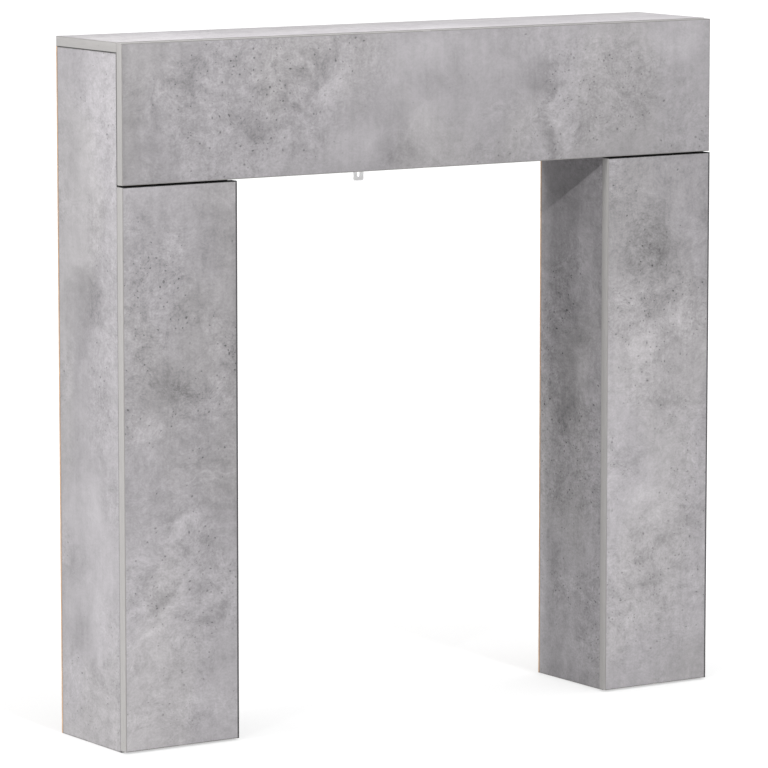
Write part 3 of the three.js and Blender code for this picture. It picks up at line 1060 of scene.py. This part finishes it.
def look_from(thing, target, direction, distance):
    thing.location = target + direction * distance
    thing.rotation_euler = (-direction).to_track_quat("-Z", "Y").to_euler()


def lay_floor(scene, settings):
    ground = bmesh.new()
    bmesh.ops.create_circle(ground, cap_ends=True, segments=FLOOR_SIDES, radius=settings.floor_radius)
    mesh = bpy.data.meshes.new("studio_floor")
    ground.to_mesh(mesh)
    ground.free()
    floor = bpy.data.objects.new("studio_floor", mesh)
    scene.collection.objects.link(floor)
    material = bpy.data.materials.new("studio_floor")
    material.use_nodes = True
    shader = material.node_tree.nodes["Principled BSDF"]
    shader.inputs["Base Color"].default_value = opaque(settings.floor_colour)
    shader.inputs["Roughness"].default_value = FLOOR_ROUGHNESS
    shader.inputs["Specular IOR Level"].default_value = FLOOR_SPECULAR
    shader.inputs["Emission Color"].default_value = WHITE
    shader.inputs["Emission Strength"].default_value = settings.floor_glow
    mesh.materials.append(material)


def light_surround(scene, settings):
    """The world: dim at eye level and bright overhead."""
    world = bpy.data.worlds.new("studio_surround")
    world.use_nodes = True
    sky = world.node_tree
    direction = add_node(sky, "ShaderNodeTexCoord").outputs["Generated"]
    upward = add_node(sky, "ShaderNodeSeparateXYZ", {0: direction})
    height = maths(sky, "POWER", maths(sky, "MAXIMUM", upward.outputs[2], 0.0), CEILING_FOCUS)
    rise = maths(sky, "MULTIPLY", height, settings.ceiling_strength - settings.wall_strength)
    background = sky.nodes["Background"]
    background.inputs["Color"].default_value = WHITE
    sky.links.new(maths(sky, "ADD", rise, settings.wall_strength), background.inputs["Strength"])
    scene.world = world


def place_lamps(scene, settings):
    middle = Vector((0.0, 0.0, CAD_HIGH[Z] / 2))
    for name, strength, azimuth, elevation, spread in (
            ("front_light", settings.front_strength, 0.0, settings.front_elevation, settings.light_spread),
            ("side_light", settings.side_strength, math.pi / 2, settings.side_elevation,
             settings.light_spread),
            ("corner_light", settings.corner_strength, settings.corner_azimuth, settings.corner_elevation,
             settings.corner_spread)):
        lamp = bpy.data.lights.new(name, "SUN")
        lamp.energy = strength
        lamp.angle = spread
        light = bpy.data.objects.new(name, lamp)
        scene.collection.objects.link(light)
        look_from(light, middle, around(azimuth, elevation), LAMP_DISTANCE)


def place_camera(scene, settings):
    lens = bpy.data.cameras.new("camera")
    lens.sensor_width = SENSOR_WIDTH
    lens.lens = settings.camera_lens
    lens.clip_end = FARTHEST_VIEW
    lens.dof.use_dof = False
    camera = bpy.data.objects.new("camera", lens)
    scene.collection.objects.link(camera)
    direction = around(settings.camera_azimuth, settings.camera_elevation)
    look_from(camera, Vector(settings.camera_target), direction, settings.camera_distance)
    scene.camera = camera


class MANTELPIECE_OT_studio(bpy.types.Operator):
    """Set the pale floor, the soft light and the camera"""

    bl_idname = "mantelpiece.studio"
    bl_label = "Studio"

    def execute(self, context):
        scene = context.scene
        scene.view_settings.view_transform = "Standard"
        scene.view_settings.look = "None"
        for set_up in (lay_floor, light_surround, place_lamps, place_camera):
            set_up(scene, scene.mantelpiece.studio)
        return {"FINISHED"}


class MANTELPIECE_PT_panel(bpy.types.Panel):
    """The mantelpiece's sizes, finishes and steps"""

    bl_idname = "MANTELPIECE_PT_panel"
    bl_label = "Mantelpiece"
    bl_space_type = "VIEW_3D"
    bl_region_type = "UI"
    bl_category = "Mantelpiece"

    def draw(self, context):
        settings = context.scene.mantelpiece
        for group in (settings.board, settings.laminate, settings.fitting, settings.studio):
            box = self.layout.box()
            for name in group.__annotations__:
                box.prop(group, name)
        for step in STEPS:
            self.layout.operator(step.bl_idname)


GROUPS = (BoardSettings, LaminateSettings, FittingSettings, StudioSettings, MantelSettings)
STEPS = (
    MANTELPIECE_OT_top_board, MANTELPIECE_OT_header, MANTELPIECE_OT_outer_sides, MANTELPIECE_OT_inner_sides,
    MANTELPIECE_OT_leg_fronts, MANTELPIECE_OT_back_panels, MANTELPIECE_OT_wall_bracket, MANTELPIECE_OT_studio,
)
CLASSES = (*GROUPS, *STEPS, MANTELPIECE_PT_panel)


def register():
    for cls in CLASSES:
        bpy.utils.register_class(cls)
    bpy.types.Scene.mantelpiece = PointerProperty(type=MantelSettings)


def unregister():
    del bpy.types.Scene.mantelpiece
    for cls in reversed(CLASSES):
        bpy.utils.unregister_class(cls)


def main():
    register()
    bpy.ops.mantelpiece.top_board()
    bpy.ops.mantelpiece.header()
    bpy.ops.mantelpiece.outer_sides()
    bpy.ops.mantelpiece.inner_sides()
    bpy.ops.mantelpiece.leg_fronts()
    bpy.ops.mantelpiece.back_panels()
    bpy.ops.mantelpiece.wall_bracket()
    bpy.ops.mantelpiece.studio()


if __name__ == "__main__":
    main()
